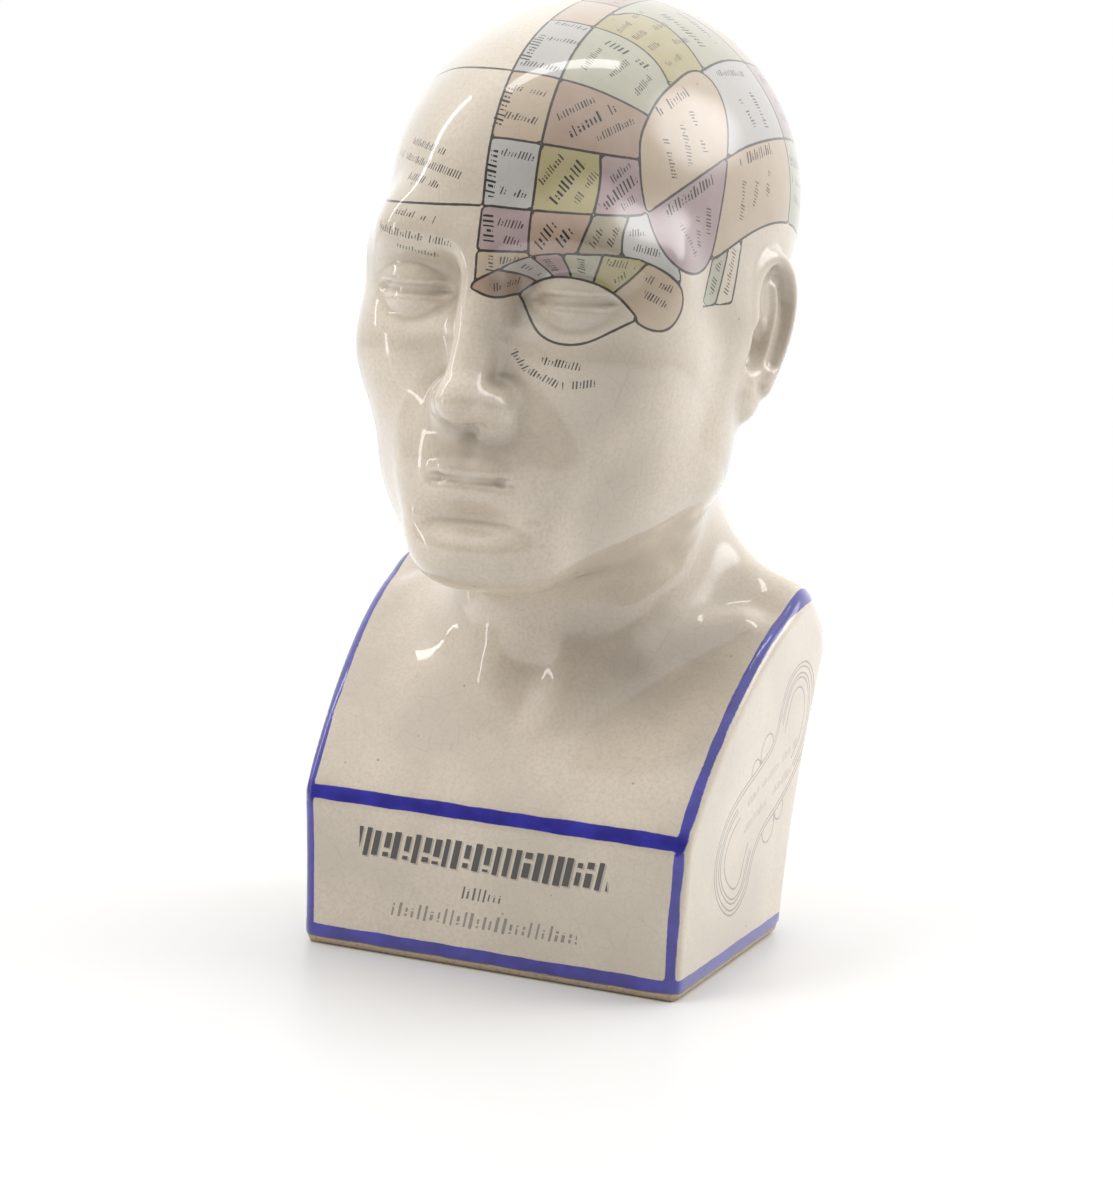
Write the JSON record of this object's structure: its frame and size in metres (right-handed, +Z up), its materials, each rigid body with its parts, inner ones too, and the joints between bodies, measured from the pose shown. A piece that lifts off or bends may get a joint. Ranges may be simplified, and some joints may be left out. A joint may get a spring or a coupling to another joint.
{
  "type": "phrenology head",
  "caption": "Glazed ceramic phrenology head: a bald, calm head on a square-sided bust, with a tinted map on one side and blue-lined edges.",
  "frame": {"origin": "centre of the bounding box on the underside", "axes": "+Z up along the height, -Y the way the face looks, +X the figure's own left side, which carries the map"},
  "size_m": [0.1418, 0.173, 0.2965],
  "materials": {
    "glazed_ceramic": "glossy cream glaze over pale earthenware, with printed and hand-painted colour under it"
  },
  "bodies": {
    "root": {"bust": "glazed_ceramic"}
  },
  "joints": []
}
